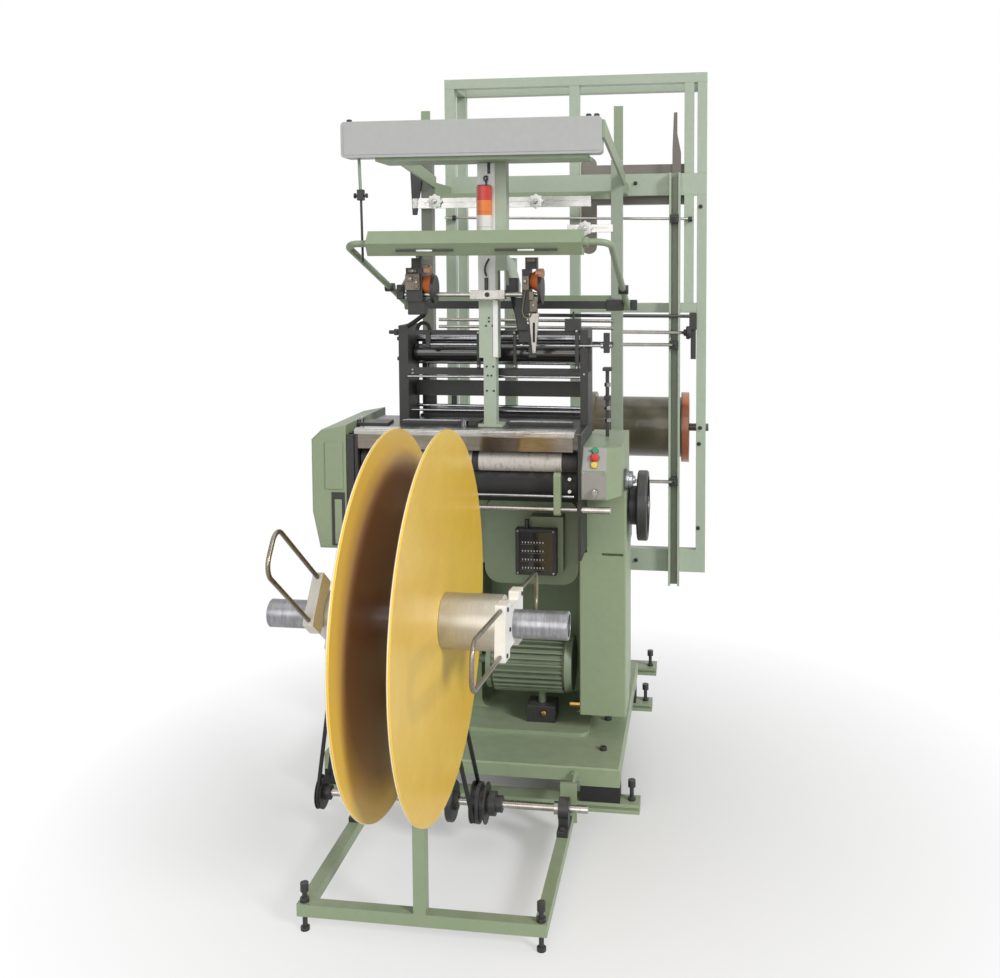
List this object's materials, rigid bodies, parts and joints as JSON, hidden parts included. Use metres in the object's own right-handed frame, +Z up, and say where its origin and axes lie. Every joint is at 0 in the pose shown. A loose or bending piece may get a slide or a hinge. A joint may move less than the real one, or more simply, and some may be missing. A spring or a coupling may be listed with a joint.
{
  "type": "power loom",
  "caption": "Narrow-fabric power loom with two weft heads, rear creel frame and a front take-up reel of two large yellow discs.",
  "frame": {"origin": "on the floor, under the middle of the front floor rail's depth, in the plane half way between the two reel discs", "axes": "+Z up, +Y back from the reel into the loom, +X to the right along the reel's axle"},
  "size_m": [1.174, 2.4989, 2.284],
  "materials": {
    "green_paint": "satin sage green paint",
    "grey_paint": "light grey paint",
    "beam_paint": "dark olive paint",
    "black_iron": "black oxide",
    "steel": "turned steel",
    "chrome": "polished",
    "lacquered_wood": "yellow lacquer, semi-gloss",
    "nylon": "cream nylon",
    "rubber": "matt",
    "cloth": "wound cover cloth",
    "green_plastic": "gloss",
    "red_plastic": "gloss",
    "yellow_plastic": "gloss"
  },
  "bodies": {
    "loom": {"take_up_stand": "green_paint", "base_casting": "green_paint", "floor_rails": "green_paint", "loom_body": "green_paint", "left_cover": "green_paint", "lower_cover": "green_paint", "upper_cover": "green_paint", "control_box": "green_paint", "motor": "green_paint", "counter_box": "green_paint", "centre_column": "green_paint", "header_arms": "green_paint", "rear_frame": "green_paint", "creel_frame": "green_paint", "levelling_bolts": "black_iron", "pillow_blocks": "black_iron", "mandrel_bearing": "black_iron", "left_side_plate": "black_iron", "right_side_plate": "black_iron", "lamp_support": "black_iron", "harness_frame": "black_iron", "left_head": "black_iron", "right_head": "black_iron", "head_rod": "steel", "breast_plate": "steel", "creel_channel": "steel", "rubber_pads": "rubber", "reel_belt": "rubber", "side_belt": "rubber", "header_box": "grey_paint", "signal_lamp": "red_plastic"},
    "low_shaft": {"transmission_shaft": "steel", "plain_wheel": "black_iron", "double_pulley": "black_iron", "side_pulley": "black_iron"},
    "reel": {"mandrel": "chrome", "mandrel_pulley": "black_iron", "left_disc": "lacquered_wood", "right_disc": "lacquered_wood", "left_core": "steel", "right_core": "steel", "left_block": "nylon", "right_block": "nylon", "left_arms": "steel", "right_arms": "steel"},
    "rubber_roller": {"take_up_roller": "rubber"},
    "cloth_roller": {"press_roller": "cloth"},
    "release_lever": {"lever_shaft": "steel", "press_lever": "green_paint"},
    "hand_drive": {"main_shaft": "steel", "handwheel": "black_iron"},
    "start_button": {"green_button": "green_plastic"},
    "stop_button": {"red_button": "red_plastic"},
    "inch_button": {"yellow_button": "yellow_plastic"},
    "key": {"key_switch": "steel"},
    "lamp": {"lamp_bar": "green_paint"},
    "harness_roller": {"upper_roller": "steel"},
    "front_heald": {"front_heald_frame": "black_iron"},
    "back_heald": {"back_heald_frame": "black_iron"},
    "beam": {"warp_beam": "beam_paint"}
  },
  "joints": [
    {"name": "roller_spin", "type": "hinge", "parent": "loom", "child": "rubber_roller", "pos_m": [0, 0.095, 0.925], "axis": [1, 0, 0], "continuous": true},
    {"name": "low_shaft_spin", "type": "hinge", "parent": "loom", "child": "low_shaft", "pos_m": [0, -0.264, 0.127], "axis": [1, 0, 0], "continuous": true},
    {"name": "reel_spin", "type": "hinge", "parent": "loom", "child": "reel", "pos_m": [0, -0.675, 0.768], "axis": [1, 0, 0], "continuous": true},
    {"name": "cloth_roller_spin", "type": "hinge", "parent": "loom", "child": "cloth_roller", "pos_m": [0, 0.07, 1.001], "axis": [1, 0, 0], "continuous": true},
    {"name": "release_turn", "type": "hinge", "parent": "loom", "child": "release_lever", "pos_m": [0, 0.015, 0.872], "axis": [1, 0, 0], "range_deg": [-3, 50]},
    {"name": "hand_spin", "type": "hinge", "parent": "loom", "child": "hand_drive", "pos_m": [0.4, 0.275, 0.832], "axis": [1, 0, 0], "continuous": true},
    {"name": "green_press", "type": "slide", "parent": "loom", "child": "start_button", "axis": [0, 0.818, -0.5752], "range_m": [0, 0.004], "stiffness_N_per_m": 400, "springref_m": -0.001},
    {"name": "red_press", "type": "slide", "parent": "loom", "child": "stop_button", "axis": [0, 0.818, -0.5752], "range_m": [0, 0.004], "stiffness_N_per_m": 400, "springref_m": -0.001},
    {"name": "yellow_press", "type": "slide", "parent": "loom", "child": "inch_button", "axis": [0, 0.818, -0.5752], "range_m": [0, 0.004], "stiffness_N_per_m": 400, "springref_m": -0.001},
    {"name": "key_turn", "type": "hinge", "parent": "loom", "child": "key", "pos_m": [0.34, 0.025, 0.923], "axis": [0, 1, 0], "range_deg": [0, 90]},
    {"name": "lamp_tilt", "type": "hinge", "parent": "loom", "child": "lamp", "pos_m": [0, 0.525, 1.443], "axis": [1, 0, 0], "range_deg": [-3, 6]},
    {"name": "harness_roller_spin", "type": "hinge", "parent": "loom", "child": "harness_roller", "pos_m": [0, 0.275, 1.302], "axis": [1, 0, 0], "continuous": true},
    {"name": "front_heald_slide", "type": "slide", "parent": "loom", "child": "front_heald", "axis": [0, 0, 1], "range_m": [-0.04, 0.04]},
    {"name": "back_heald_slide", "type": "slide", "parent": "loom", "child": "back_heald", "axis": [0, 0, 1], "range_m": [-0.04, 0.04]},
    {"name": "beam_spin", "type": "hinge", "parent": "loom", "child": "beam", "pos_m": [0.3, 1.25, 0.93], "axis": [1, 0, 0], "continuous": true}
  ],
  "couplings": [
    {"joint": "low_shaft_spin", "follows": "reel_spin", "ratio": 0.92593},
    {"joint": "roller_spin", "follows": "reel_spin", "ratio": 0.92593},
    {"joint": "cloth_roller_spin", "follows": "reel_spin", "ratio": -1.5124},
    {"joint": "back_heald_slide", "follows": "front_heald_slide", "ratio": -1}
  ]
}
